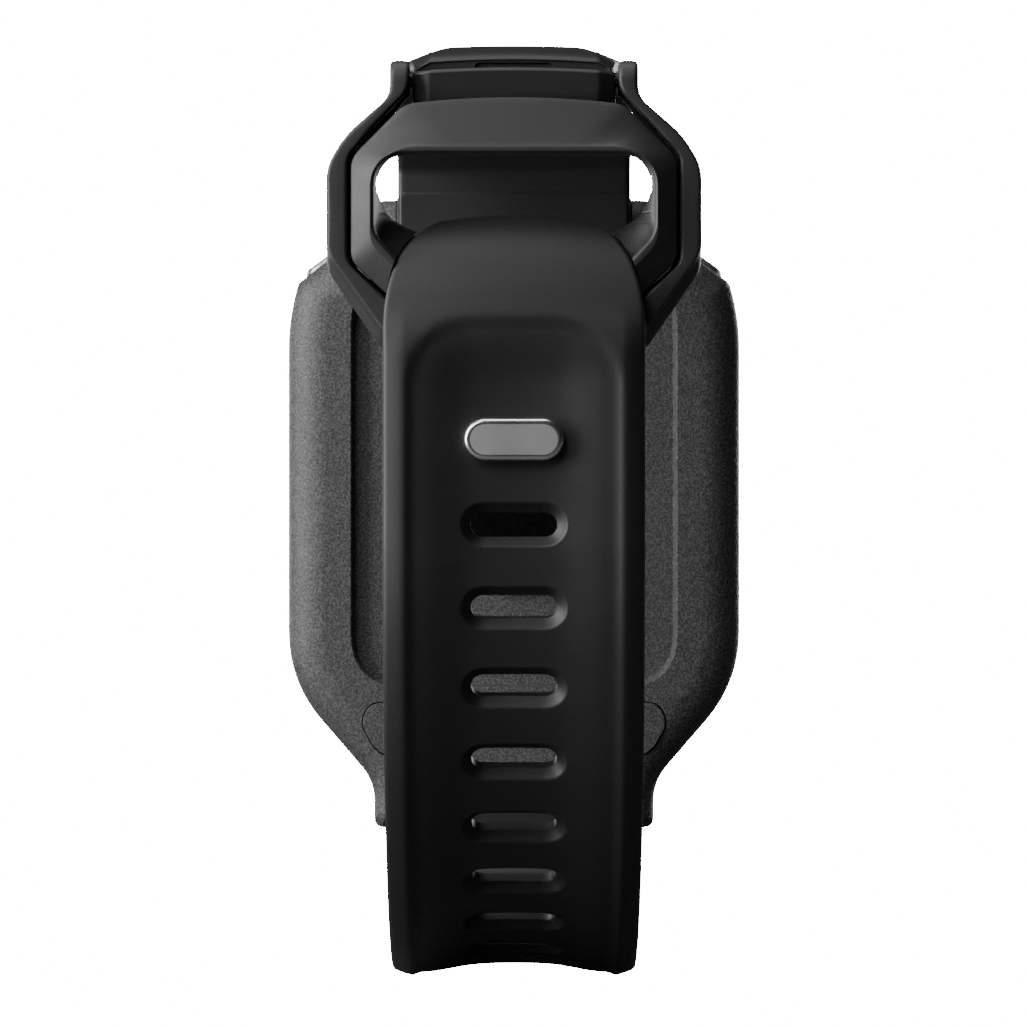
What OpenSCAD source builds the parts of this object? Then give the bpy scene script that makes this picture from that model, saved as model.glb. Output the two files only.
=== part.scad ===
// Fitness tracker with a pin-and-tuck strap, closed as it sits on a wrist.
// X runs along the wrist, -Y faces the clasp, +Y faces the display and Z is up.
// The origin is the middle of the wrist opening. All sizes are in millimetres.

/* [Case] */
// Width of the case
case_w = 41; // [40.6:0.1:42]
// Length of the case from lug end to lug end
case_l = 57; // [56.6:0.1:58]
// Width of a lug end
lug_w = 25.4; // [25.2:0.1:26]
// Depth of the recess in the back
recess_d = 0.8; // [0.5:0.1:1]
// Radius of the sensor window
sensor_r = 6.9; // [5:0.1:7.2]

/* [Strap] */
// Width of the strap
strap_w = 21; // [20:0.1:21.2]
// Thickness of the strap
strap_t = 2.3; // [2:0.1:2.4]
// Distance from one adjustment hole to the next
hole_pitch = 6.8; // [6:0.1:7.5]
// Number of adjustment holes, the one in use included
hole_count = 10; // [6:1:10]
// Width of a hole through the strap
hole_w = 7.4; // [6:0.1:8]
// Height of a hole through the strap
hole_h = 2.3; // [1.8:0.1:2.6]

/* [Clasp] */
// Width of the stud's head
stud_w = 7.8; // [7:0.1:8]
// Height of the stud's head
stud_h = 3.35; // [3:0.05:3.5]
// Height of the stud above the middle of the case
stud_z = 5.95; // [5.5:0.05:6.5]
// Gap between the keeper and the clasp frame around it
clasp_gap = 0.26; // [0.2:0.02:0.4]
// Radius of the clasp's pin
pin_r = 0.6; // [0.5:0.05:0.7]

/* [Buttons] */
// Length of a side button
button_l = 5.2; // [4.6:0.1:5.6]
// How far a side button stands out
button_proud = 0.75; // [0.6:0.05:0.9]

/* [Hidden] */
$fn = 48;

// Planes along Y
near_y = -26;       // outer face of the closed strap
clasp_y = -23.4;    // front face of the clasp frame and the tongue
back_y = 24;        // back of the case
split_y = 33.5;     // joint between the case back and the bezel
front_y = 36;       // front of the bezel
glass_y = 36.5;     // front of the glass

// Curves of the loop, as centres [y, z] and radii of the strap's outer face
tail_c = [-12, 14];
tail_r = tail_c[0] - near_y;
tail_a = 134;
loop_c = [12, -2];
loop_r = loop_c[0] - near_y;
lug_r = 16.9;
lower_lug_r = 17;
lug_a = 66;
top_z = 39.05;
neck_r = 50;
neck_c = [-6.5, top_z - neck_r];
neck_slope = 17.4;
tuck = 3.4;         // length of strap held in each adapter
root_front = 23.6;  // wrist side of the pad at the end of each strap

// Clasp
pivot = [-21.8, 35];
pivot_r = 1.6;
neck_hw = 8.2;
neck_flat = 6.85;
neck_front = -23.2;
lip = 0.3;          // how far the frame's back lip reaches behind the keeper's front
lip_front = -20.75;
arm_hw = 10;
neck_top = pivot[1] + 0.9;
keeper_back = -19.6;
rim_y = -24.5;
frame_back = -20.2;
tongue_back = -21.4;
stud_proud = 0.4;   // how far the stud's head stands out of the strap, and how far it is sunk in it
stud_sunk = 0.65;

// Case
half_w = case_w / 2;
half_l = case_l / 2;
lug_hw = lug_w / 2;
adapter_back = 29.6;
latch_z = 19.3;
latch_travel = 0.6;

// Side buttons: the middle of the shoulder facet, its lean and the depths below it
facet_mid = [16.76, 23.04];
facet_a = 35.7;
button_y = 31.5;
pocket_d = 1.5;
wall_d = 3.2;
stem_r = 0.7;
stem_end = 3.9;
button_travel = 0.5;

module slab(points, y0, y1)
    translate([0, y1, 0]) rotate([90, 0, 0]) linear_extrude(y1 - y0) polygon(points);

module ribbon(points, w)
    rotate([90, 0, 90]) translate([0, 0, -w / 2]) linear_extrude(w) polygon(points);

module block(x0, x1, y0, y1, z0, z1)
    translate([x0, y0, z0]) cube([x1 - x0, y1 - y0, z1 - z0]);

// A pill-shaped bar along Y
module pill(w, h, y0, y1)
    translate([0, y1, 0]) rotate([90, 0, 0]) linear_extrude(y1 - y0) {
        square([w - h, h], center = true);
        for (x = [-1, 1]) translate([x * (w - h) / 2, 0]) circle(d = h);
    }

module rod_y(r, y0, y1) translate([0, y1, 0]) rotate([90, 0, 0]) cylinder(r = r, h = y1 - y0);
module rod_x(r, x0, x1) translate([x0, 0, 0]) rotate([0, 90, 0]) cylinder(r = r, h = x1 - x0);

// The shallow recess in the case's back
module recess() slab(frame_rect(14.75, -15.7, 22, 5), back_y - 1, back_y + recess_d);

// A corner cut back by r on both sides and bridged by a smooth curve
function corner(a, b, c, r, n = 5) =
    let (p = b + (a - b) / norm(a - b) * r, q = b + (c - b) / norm(c - b) * r)
    [for (k = [0:n]) let (t = k / n) (1 - t) * (1 - t) * p + 2 * t * (1 - t) * b + t * t * q];
function flat(v) = [v[0], v[1]];
function rounded(v) = let (m = len(v))
    [for (i = [0:m - 1]) each corner(flat(v[(i + m - 1) % m]), flat(v[i]), flat(v[(i + 1) % m]), v[i][2])];

// A closed outline from its right half, given from bottom to top as [x, z, corner]
function both_sides(v) = rounded(concat(v, [for (i = [len(v) - 1:-1:0]) [-v[i][0], v[i][1], v[i][2]]]));
function frame_rect(hw, z0, z1, r) = both_sides([[hw, z0, r], [hw, z1, r]]);
function reversed(v) = [for (i = [len(v) - 1:-1:0]) v[i]];
function arc(c, r, a0, a1, n = 14) = [for (k = [0:n]) let (a = a0 + (a1 - a0) * k / n) c + r * [cos(a), sin(a)]];

// Outline of the case, drawn in by e
function case_outline(e = 0) = both_sides([
    [lug_hw - e, -half_l + e, 0.9],
    [lug_hw - e, -24.3 + e / 2, 1.8],
    [half_w - e, -15.25 + e / 2, 4.6],
    [half_w - e, 17.6 - e, 2.6],
    [19.6 - e, 21 - e / 2, 0.2],
    [13.76 - e, 25.2 - e / 2, 0.5],
    [lug_hw - 0.35 - e, half_l - e, 0.7]]);

// The strap's lines at depth t below its outer face, from the near end to the adapter
function tuck_end(c, r, a, turn, t) =
    c + (r - t) * [cos(a), sin(a)] + tuck * [cos(a + turn), sin(a + turn)];
function lower_loop(t) = let (c = [loop_c[0], loop_c[1] - loop_r + lower_lug_r], a = 270 + lug_a)
    concat(arc(loop_c, loop_r - t, 180, 270, 22), arc(c, lower_lug_r - t, 271, a),
        [tuck_end(c, lower_lug_r, a, 90, t)]);
function lower_line(t) = concat(arc(tail_c, tail_r - t, tail_a, 180, 12), lower_loop(t));
function upper_line(t) = let (c = [12, top_z - lug_r], a = 90 - lug_a)
    concat(arc(neck_c, neck_r - t, 90 + neck_slope, 90, 10), arc(c, lug_r - t, 90, a),
        [tuck_end(c, lug_r, a, -90, t)]);

// Where adjustment hole k sits: [y, z, lean]
function hole_at(k) = let (z = stud_z - k * hole_pitch, a = max(0, loop_c[1] - z) / loop_r * 180 / PI)
    z >= loop_c[1] ? [near_y, z, 0] : [loop_c[0] - loop_r * cos(a), loop_c[1] - loop_r * sin(a), a];

// Outline of the tail's tip seen from the clasp side, made larger by e
function tail_outline(e = 0) = both_sides([
    [strap_w / 2 + e, -60, 1],
    [strap_w / 2 + e, 17 + e, 2.4],
    [9.1 + e, 21.9 + e, 1.8],
    [6.4 + e, 24.2 + e, 1.2]]);

// Outline of the T-shaped strap adapter, made larger by e, for the lower lug
function adapter_outline(e = 0) = both_sides([
    [10.6 + e, -half_l - 0.1, 0.1],
    [10.6 + e, -21.7 - e, 0.6],
    [13.5 + e, -21.7 - e, 1.7],
    [13.5 + e, -17.1 + e, 1.7]]);

// Outline of the keeper made larger by e, with its neck left open at the top
function keeper_outline(e = 0) = let (w = neck_hw + max(e, 0)) both_sides([
    [7.3 + e / 3, 15 - e, 0.8],
    [13.1 + e, 20.35 - e / 2, 0.8],
    [13.1 + e, 28.65 + e / 2, 1],
    [w, 34.2 + e / 2, 0.8],
    [w, 40, 0.1]]);

module in_lug(upper) {
    if (upper) mirror([0, 0, 1]) children();
    else children();
}

// Places children on a shoulder facet: local +Z points out of it and local Y is the frame's Y
module on_facet(left) {
    mirror([left ? 1 : 0, 0, 0])
        translate([facet_mid[0], button_y, facet_mid[1]]) rotate([0, facet_a, 0]) children();
}

// ---- case ----
module case_back() color("#38393b") difference() {
    union() {
        slab(case_outline(1.4), back_y, back_y + 0.9);
        slab(case_outline(0.5), back_y + 0.9, back_y + 2);
        slab(case_outline(), back_y + 2, split_y);
    }
    difference() {
        union() {
            slab(frame_rect(18.2, -14.8, 16.4, 2), back_y + 2, split_y + 1);
            slab(both_sides([[10.5, -24.5, 1], [18, -15.6, 2], [17.73, 18.4, 0.5], [11.9, 22.6, 0.5], [11, 26, 1]]),
                30.4, split_y + 1);
        }
        for (x = [-16.4, 16.4], z = [-13, 14.6]) translate([x, 0, z]) rod_y(1.5, back_y, 28.5);
    }
    for (x = [-16.4, 16.4], z = [-13, 14.6]) translate([x, 0, z]) rod_y(0.5, back_y + 1.2, 30);
    recess();
    rod_y(sensor_r + 0.05, back_y - 1, back_y + 3);
    for (x = [-3, 3]) translate([x, 0, 11.5]) rod_y(0.95, back_y - 1, back_y + 3);
    for (upper = [false, true]) in_lug(upper) slab(adapter_outline(0.1), back_y - 1, adapter_back + 0.1);
    for (left = [false, true]) on_facet(left) {
        translate([0, 0, -pocket_d]) button_prism(button_l + 0.2, 3, pocket_d + 3);
        translate([0, 0, -2.3]) cylinder(r = 1.25, h = 1);
        translate([0, 0, -wall_d - 1]) cylinder(r = stem_r + 0.05, h = 3);
    }
}

// A bar with round ends, standing up from the facet's plane
module button_prism(l, w, h) {
    translate([-(l - w) / 2, -w / 2, 0]) cube([l - w, w, h]);
    for (x = [-1, 1]) translate([x * (l - w) / 2, 0, 0]) cylinder(d = w, h = h);
}

module front_bezel() color("#1d1e20") difference() {
    slab(case_outline(), split_y, front_y);
    slab(frame_rect(16, -18, 19, 3), split_y - 1, front_y);
    slab(frame_rect(17.3, -19.3, 20.3, 4), 34.2, front_y + 1);
}

module display_gasket() color("#101010") difference() {
    slab(frame_rect(17.2, -19.2, 20.2, 4), 34.2, 34.4);
    slab(frame_rect(16, -18, 19, 3), 34, 35);
}

module display_glass() color("#0a0b0d") slab(frame_rect(17.2, -19.2, 20.2, 4), 34.4, glass_y);
module display_panel() color("#15181c") slab(frame_rect(15.8, -17.8, 18.8, 2.5), 33.1, 34.3);

module inner_chassis() color("#2b2d30") difference() {
    slab(frame_rect(17.9, -14.5, 16.1, 2), 28.55, 29.4);
    for (x = [-16.4, 16.4], z = [-13, 14.6]) translate([x, 0, z]) rod_y(0.6, 28, 30);
    slab(frame_rect(4, 8, 12, 1), 28, 30);
}

module chassis_screws() color("#b8b8b8")
    for (x = [-16.4, 16.4], z = [-13, 14.6]) translate([x, 0, z]) difference() {
        union() {
            rod_y(0.5, back_y + 1.4, 29.45);
            rod_y(1, 29.45, 30);
        }
        translate([-0.6, 29.75, -0.12]) cube([1.2, 1, 0.24]);
    }

module main_board() color("#1c4a35") difference() {
    slab(frame_rect(14.9, -13.5, 15, 1.5), 29.5, 30.3);
    slab(frame_rect(2, 9, 11, 0.5), 29, 31);
}

module processor_shield() color("#a9abad") block(-6, 4, 30.35, 31.5, -6, 5);
module battery_cell() color("#8b8f94") block(-6.5, 14.3, 26.5, 28.4, -6.5, 12);
module vibration_motor() color("#b0b0b0") translate([-12.4, 0, -8.6]) rod_y(4, 26.2, 28.4);
module speaker_unit() color("#4a4a4a") block(2, 12, 26.2, 28.4, -13.6, -8);
module antenna_strip() color("#b8894a") block(-9, 9, 31, 31.4, 20.4, 22);

module sensor_window() color("#0c0c0e") {
    rod_y(sensor_r, back_y + 0.4, back_y + 1.4);
    rod_y(sensor_r - 0.8, back_y + 0.15, back_y + 0.4);
}
module sensor_board() color("#1c4a35") rod_y(6.4, back_y + 1.5, back_y + 2.2);
module charging_contacts() color("#c9a45c")
    for (x = [-3, 3]) translate([x, 0, 11.5]) {
        rod_y(0.9, back_y + 0.6, back_y + 2.1);
        rod_y(1.3, back_y + 2.1, back_y + 2.4);
    }

// ---- side buttons ----
module side_button(left) color("#9b9da0") on_facet(left) {
    translate([0, 0, -0.9]) button_prism(button_l, 2.8, 0.9 + button_proud);
    translate([0, 0, -stem_end]) cylinder(r = stem_r, h = stem_end - 0.9);
}
module left_button() side_button(true);
module right_button() side_button(false);

module button_seal(left) color("#161616") on_facet(left) translate([0, 0, -2.3]) difference() {
    cylinder(r = 1.2, h = 0.75);
    translate([0, 0, -1]) cylinder(r = stem_r + 0.03, h = 3);
}
module left_button_seal() button_seal(true);
module right_button_seal() button_seal(false);

module button_switch(left) color("#c8c8c0") on_facet(left)
    translate([0, 0, -stem_end - button_travel - 0.05]) {
        translate([-1.5, -0.9, -1.2]) cube([3, 1.8, 0.9]);
        translate([0, 0, -0.3]) cylinder(r = 0.8, h = 0.3);
    }
module left_button_switch() button_switch(true);
module right_button_switch() button_switch(false);

// ---- strap adapters and their release latches ----
module adapter(upper) color("#38393b") difference() {
    in_lug(upper) difference() {
        slab(adapter_outline(), back_y, adapter_back);
        translate([0, 0, -latch_z]) pill(7.2, 2.8, back_y - 1, back_y + 3 + latch_travel + 0.1);
    }
    strap_socket(upper);
    if (upper) recess();
}
module upper_adapter() adapter(true);
module lower_adapter() adapter(false);

// The room that the strap's end takes in an adapter
module strap_socket(upper) {
    if (upper) ribbon(concat(upper_line(-0.05), reversed(upper_line(strap_t + 0.05))), strap_w + 0.1);
    else ribbon(concat(lower_loop(-0.05), reversed(lower_loop(strap_t + 0.05))), strap_w + 0.1);
}

module latch(upper) color("#38393b") in_lug(upper)
    translate([0, 0, -latch_z]) pill(7, 2.6, back_y + (upper ? recess_d : 0), back_y + 3);
module upper_latch() latch(true);
module lower_latch() latch(false);

// ---- straps ----
// The pad at a strap's end, which lies on the back of the adapter
module strap_root(top) ribbon([[root_front, 22.5], [back_y - 0.02, 22.5], [back_y - 0.02, half_l + 0.2],
    [25.6, half_l + 0.2], [25.6, 29.4], [root_front, top]], strap_w - 0.1);

module upper_strap() color("#17181a") difference() {
    union() {
        intersection() {
            ribbon(concat(upper_line(0), reversed(upper_line(strap_t))), strap_w);
            linear_extrude(60) polygon([[-neck_hw, -30], [neck_hw, -30], [neck_hw, -17],
                [strap_w / 2, 0], [strap_w / 2, 40], [-strap_w / 2, 40], [-strap_w / 2, 0], [-neck_hw, -17]]);
        }
        strap_root(31);
    }
    translate([0, 0, neck_top + 0.3]) pill(6.4, 1.3, -30, -20.4);
    // The neck of the keeper takes the end of the strap on its ledge and against its back
    block(-neck_hw - 0.05, neck_hw + 0.05, -30, keeper_back + 0.02, 30, neck_top + 0.02);
    for (x = [-1, 1]) translate([x * 6.5, 0, top_z]) rotate([0, x * 20, 0])
        translate([x * 5 - 5, -60, 0]) cube([10, 84, 5]);
}

module lower_strap() color("#17181a") difference() {
    union() {
        intersection() {
            ribbon(concat(lower_line(0), reversed(lower_line(strap_t))), strap_w);
            slab(tail_outline(), near_y - 1, 40);
        }
        mirror([0, 0, 1]) strap_root(32);
    }
    ribbon(concat([[near_y - 1, tail_c[1]]], lower_loop(-1), reversed(lower_loop(0.3)),
        [[near_y + 0.3, tail_c[1]]]), 17.8);
    for (k = [1:hole_count - 1]) translate([0, hole_at(k)[0], hole_at(k)[1]]) rotate([hole_at(k)[2], 0, 0]) {
        pill(hole_w, hole_h, -1, strap_t + 1);
        pill(hole_w + 1.1, hole_h + 1, -1, 0.75);
    }
    // The hole in use is stretched by the stud, and open enough for its head to leave inwards
    translate([0, near_y, stud_z - 0.25]) pill(stud_w + 0.5, stud_h + 0.85, -1, strap_t + 1);
}

// ---- clasp ----
// Room for the tail: the clasp's lips are rounded under it, so that it slides over them
module tail_path() difference() {
    slab(tail_outline(0.35), -30, -18);
    translate([0, tail_c[0], tail_c[1]]) rod_x(tail_r - strap_t - 0.3, -12, 12);
    block(-12, 12, -31, -17, -61, tail_c[1]);
}

module keeper_frame() color("#1b1c1e") difference() {
    union() {
        intersection() {
            slab(keeper_outline(), -22.9, keeper_back);
            block(-20, 20, -30, 0, 0, pivot[1]);
        }
        hull() {
            slab(both_sides([[7.3, 15, 0.8], [13.1, 20.35, 0.8], [13.1, 28.65, 1], [8.6, 33.4, 0.8]]),
                -23.2, -22.8);
            slab(both_sides([[7.4, 17.5, 0.8], [11.6, 21.4, 0.8], [11.6, 27.8, 1], [9.4, 29.9, 0.8]]),
                rim_y, rim_y + 0.1);
        }
        translate([0, 0, 33]) linear_extrude(neck_top - 33) polygon([[-neck_hw, -19.9],
            [-neck_hw, -22.45], [-neck_flat, neck_front], [neck_flat, neck_front], [neck_hw, -22.45],
            [neck_hw, -19.9]]);
    }
    slab(both_sides([[9, 22.4, 1.4], [11.2, 24.6, 1.4], [11.2, 29.4, 2.6]]), -30, 0);
    slab(both_sides([[7, 19.2, 0.8], [11.2, 22.9, 0.8], [11.2, 26, 0.2]]), -30, -22.2);
    tail_path();
    // A step round the back, which the frame's lip lies in
    difference() {
        block(-20, 20, lip_front - 0.25, 0, 10, 33.4);
        slab(keeper_outline(-2 * lip), -30, 1);
    }
    translate([0, pivot[0], pivot[1]]) {
        rod_x(pin_r + 0.01, -20, 20);
        for (x = [-1, 1]) translate([x > 0 ? neck_hw : -10.6, 0, 0]) rod_x(2.75, 0, 10.6 - neck_hw);
    }
}

module clasp_pin() color("#8f9194") translate([0, pivot[0], pivot[1]]) rod_x(pin_r, -9.4, 9.4);

module clasp_frame() color("#1b1c1e") difference() {
    union() {
        difference() {
            union() {
                slab(both_sides([[10.2, 13, 1.2], [15.1, 19.7, 1.2], [15.1, 28, 1.4], [13.5, 30.6, 1.4],
                    [arm_hw, 33.6, 0.8], [arm_hw, pivot[1], 0.05]]), clasp_y + 0.7, frame_back);
                slab(both_sides([[10.2, 13.8, 1.2], [14.9, 20.6, 1.2], [15.1, 28, 1.4], [13.5, 30.6, 1.4],
                    [arm_hw, 33.6, 0.8], [arm_hw, pivot[1], 0.05]]), clasp_y, clasp_y + 0.7);
            }
            slab(keeper_outline(clasp_gap), -30, lip_front);
            slab(keeper_outline(-lip), -30, -10);
            tail_path();
        }
        for (x = [-arm_hw, neck_hw + clasp_gap]) translate([x, pivot[0], pivot[1]])
            rod_x(pivot_r, 0, arm_hw - neck_hw - clasp_gap);
        slab(both_sides([[8, 1.6, 2.4], [8, 11.5, 1.5], [9.6, 14, 0.5]]), clasp_y, tongue_back);
    }
    translate([0, pivot[0], pivot[1]]) rod_x(pin_r + 0.05, -9.5, 9.5);
    for (x = [-2.2, 2.2]) translate([x, 0, stud_z]) rod_y(0.8, -24, -20);
}

module locking_stud() color("#c3c4c6") translate([0, 0, stud_z]) {
    pill(stud_w, stud_h, near_y - stud_proud, near_y + stud_sunk);
    pill(6.8, 2.1, near_y + stud_sunk, clasp_y);
    for (x = [-2.2, 2.2]) translate([x, 0, 0]) rod_y(0.8, clasp_y, -20.5);
}

module stud_plate() color("#8f9194") translate([0, 0, stud_z]) difference() {
    pill(8.4, 3.6, tongue_back, -20.8);
    for (x = [-2.2, 2.2]) translate([x, 0, 0]) rod_y(0.8, -22, -20);
}

case_back();
front_bezel();
display_glass();
display_gasket();
display_panel();
inner_chassis();
chassis_screws();
main_board();
processor_shield();
battery_cell();
vibration_motor();
speaker_unit();
antenna_strip();
sensor_window();
sensor_board();
charging_contacts();
left_button();
right_button();
left_button_seal();
right_button_seal();
left_button_switch();
right_button_switch();
upper_adapter();
lower_adapter();
upper_latch();
lower_latch();
upper_strap();
lower_strap();
keeper_frame();
clasp_pin();
clasp_frame();
locking_stud();
stud_plate();
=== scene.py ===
"""Looks of a fitness tracker with a pin-and-tuck strap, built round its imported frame.

X runs along the wrist, -Y faces the clasp and +Y the display, and Z is up. Shapes are worked out in
millimetres and put into the meshes in metres.
"""

import math

import bmesh
import bpy
import numpy as np
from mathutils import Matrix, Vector


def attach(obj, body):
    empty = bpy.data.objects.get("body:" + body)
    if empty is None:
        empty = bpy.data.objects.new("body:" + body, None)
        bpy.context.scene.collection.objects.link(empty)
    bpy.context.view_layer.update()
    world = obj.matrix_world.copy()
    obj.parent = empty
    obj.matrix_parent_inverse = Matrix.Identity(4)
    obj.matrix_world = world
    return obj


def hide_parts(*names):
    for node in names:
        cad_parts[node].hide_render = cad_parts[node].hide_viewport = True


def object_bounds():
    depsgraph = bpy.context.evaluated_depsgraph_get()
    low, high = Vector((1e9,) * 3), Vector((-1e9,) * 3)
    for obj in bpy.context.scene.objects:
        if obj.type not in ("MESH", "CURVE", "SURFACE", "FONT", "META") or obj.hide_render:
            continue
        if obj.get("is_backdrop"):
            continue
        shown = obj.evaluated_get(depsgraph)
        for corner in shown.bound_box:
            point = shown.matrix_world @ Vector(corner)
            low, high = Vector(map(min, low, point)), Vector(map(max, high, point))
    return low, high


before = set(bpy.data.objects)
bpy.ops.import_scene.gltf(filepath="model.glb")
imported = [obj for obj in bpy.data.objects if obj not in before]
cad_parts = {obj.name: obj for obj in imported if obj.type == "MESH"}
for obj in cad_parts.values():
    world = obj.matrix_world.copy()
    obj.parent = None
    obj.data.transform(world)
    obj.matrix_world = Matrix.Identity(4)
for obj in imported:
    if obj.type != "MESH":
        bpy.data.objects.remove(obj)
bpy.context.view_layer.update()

MM = 0.001
WATCH = "watch"

# Planes along Y and the curves of the loop, as [y, z] centres and radii of the strap's outer face
BACK_Y = 24.0
SPLIT_Y = 33.5
FRONT_Y = 36.0
TAIL_C, TAIL_R, TAIL_A = (-12.0, 14.0), 14.0, 134.0
LOOP_C, LOOP_R = (12.0, -2.0), 38.0
LUG_R, LOWER_LUG_R, LUG_A = 16.9, 17.0, 66.0
TUCK = 3.3
TOP_Z = 39.05
NECK_C, NECK_R, NECK_SLOPE = (-6.5, -10.95), 50.0, 15.2
STRAP_HALF, STRAP_T = 10.5, 2.3
STUD_Z, HOLE_PITCH, HOLE_COUNT = 5.95, 6.8, 10
PIVOT = (-21.8, 35.0)
FACET_MID, FACET_A, BUTTON_Y = (16.76, 23.04), 35.7, 31.5
RECESS_TAB = 0.8      # depth of the upper latch below the back's highest face
LATCH_Z = 19.3        # distance of each latch from the middle of the case
WHITE = 40.0          # strength that the camera sees as white


# ---- outlines ----
def rounded(vertices, steps=8, run=1):
    """A closed outline of [x, z, r] vertices. Each corner is cut back by r along both of its sides and
    bridged by a quadratic curve with the vertex as its control point."""
    v = np.array([p[:2] for p in vertices], float)
    r = np.array([p[2] for p in vertices], float)[:, None]
    to_last, to_next = np.roll(v, 1, 0) - v, np.roll(v, -1, 0) - v
    start = v + to_last / np.linalg.norm(to_last, axis=1, keepdims=True) * r
    end = v + to_next / np.linalg.norm(to_next, axis=1, keepdims=True) * r
    t = np.linspace(0, 1, steps + 1)[None, :, None]
    corners = (1 - t) ** 2 * start[:, None] + 2 * t * (1 - t) * v[:, None] + t**2 * end[:, None]
    if run > 1:
        s = np.linspace(0, 1, run + 1)[1:-1][None, :, None]
        straight = end[:, None] * (1 - s) + np.roll(start, -1, 0)[:, None] * s
        corners = np.concatenate([corners, straight], 1)
    return corners.reshape(-1, 2)


def both_sides(right):
    """Vertices of a whole outline from its right half, given from bottom to top."""
    return list(right) + [(-x, z, r) for x, z, r in reversed(right)]


def even(outline, count):
    """A closed outline as count points, evenly spaced along it."""
    closed = np.vstack([outline, outline[:1]])
    along = np.concatenate([[0], np.cumsum(np.linalg.norm(np.diff(closed, axis=0), axis=1))])
    at = np.linspace(0, along[-1], count, endpoint=False)
    return np.stack([np.interp(at, along, closed[:, k]) for k in (0, 1)], 1)


def by_angle(outline, centre, count):
    """A closed outline as the points where count rays from its centre meet it."""
    dense = even(outline, 4000) - centre
    angle = np.arctan2(dense[:, 1], dense[:, 0])
    order = np.argsort(angle)
    want = np.linspace(-math.pi, math.pi, count, endpoint=False)
    radius = np.interp(want, angle[order], np.linalg.norm(dense, axis=1)[order], period=2 * math.pi)
    return np.stack([np.cos(want) * radius, np.sin(want) * radius], 1) + centre


def inset(outline, d):
    """A closed outline, anticlockwise, moved inwards by d along its normals. Where that would fold it
    over itself, the points of the fold are gathered at the crossing, and the count stays the same."""
    along = np.roll(outline, -1, 0) - np.roll(outline, 1, 0)
    along = along / np.maximum(np.linalg.norm(along, axis=1, keepdims=True), 1e-9)
    moved = outline + np.stack([-along[:, 1], along[:, 0]], 1) * d
    if abs(d) < 0.02:
        return moved
    a, b = outline[None], np.roll(outline, -1, 0)[None]
    t = np.clip(((moved[:, None] - a) * (b - a)).sum(-1) / np.maximum(((b - a) ** 2).sum(-1), 1e-12),
                0, 1)
    gap = np.linalg.norm(moved[:, None] - a - (b - a) * t[..., None], axis=-1).min(1)
    good = gap > abs(d) * 0.985
    if good.all() or not good.any():
        return moved
    count = len(outline)
    thrice, index = np.tile(good, 3), np.arange(3 * count)
    last = np.maximum.accumulate(np.where(thrice, index, -1))[count:2 * count] % count
    after = np.where(thrice, index, 9 * count)
    after = np.minimum.accumulate(after[::-1])[::-1][count:2 * count] % count
    return np.where(good[:, None], moved, (moved[last] + moved[after]) / 2)


def at_y(outline, y):
    """An outline in X and Z as points at depth y."""
    return np.stack([outline[:, 0], np.full(len(outline), float(y)), outline[:, 1]], 1)


def fillet(r, steps=5):
    """Steps round a quarter circle of radius r, as (inset, depth) pairs from the flat to the wall."""
    a = np.radians(np.linspace(0, 90, steps + 1))
    return [(r * (1 - math.sin(t)), r * (1 - math.cos(t))) for t in a]


# ---- meshes ----
def ring_faces(rows, cols, loop=False):
    """Quads between rows of points. Each row wraps round, and with loop the last row joins the first."""
    i = np.arange(rows if loop else rows - 1)[:, None]
    j = np.arange(cols)[None, :]
    nxt, side = (i + 1) % rows, (j + 1) % cols
    corners = [i * cols + j, i * cols + side, nxt * cols + side, nxt * cols + j]
    return np.stack(corners, -1).reshape(-1, 4).tolist()


def grid_faces(rows, cols):
    """Quads between rows of points that don't wrap round."""
    i, j = np.arange(rows - 1)[:, None], np.arange(cols - 1)[None, :]
    a = i * cols + j
    return np.stack([a, a + 1, a + cols + 1, a + cols], -1).reshape(-1, 4).tolist()


def solid(name, points, faces, *materials, sharp=32, merge=1e-4):
    """A closed smooth-shaded mesh from points in millimetres, with edges sharper than an angle kept."""
    mesh = bpy.data.meshes.new(name)
    mesh.from_pydata((np.asarray(points, float) * MM).tolist(), [], faces)
    work = bmesh.new()
    work.from_mesh(mesh)
    bmesh.ops.remove_doubles(work, verts=work.verts, dist=merge * MM)
    bmesh.ops.dissolve_degenerate(work, edges=work.edges, dist=merge * MM)
    bmesh.ops.recalc_face_normals(work, faces=work.faces)
    work.to_mesh(mesh)
    work.free()
    for material in materials:
        mesh.materials.append(material)
    mesh.shade_smooth()
    mesh.set_sharp_from_angle(angle=math.radians(sharp))
    piece = bpy.data.objects.new(name, mesh)
    bpy.context.scene.collection.objects.link(piece)
    return piece


def loft(name, rings, *materials, loop=False, **more):
    """A surface through rings of matched points, closed by a flat cap at each end, or on itself."""
    cols = len(rings[0])
    points = np.concatenate(rings)
    faces = ring_faces(len(rings), cols, loop)
    if not loop:
        faces += [tuple(range(cols))[::-1], tuple(range(len(points) - cols, len(points)))]
    return solid(name, points, faces, *materials, **more)


def plate_rings(outline, y0, y1, r0, r1):
    """Rings of a plate between depths y0 and y1, its edges rounded by r0 and r1. A further ring inside
    each rounded edge keeps the flat faces flat."""
    rings = [at_y(inset(outline, r0 + 0.15), y0)]
    rings += [at_y(inset(outline, i), y0 + d) for i, d in fillet(r0)]
    rings += [at_y(inset(outline, i), y1 - d) for i, d in reversed(fillet(r1))]
    return rings + [at_y(inset(outline, r1 + 0.15), y1)]


def plate(name, outline, y0, y1, r0, r1, *materials, count=240, **more):
    """A flat plate with rounded edges."""
    return loft(name, plate_rings(even(outline, count), y0, y1, r0, r1), *materials, **more)


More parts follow.
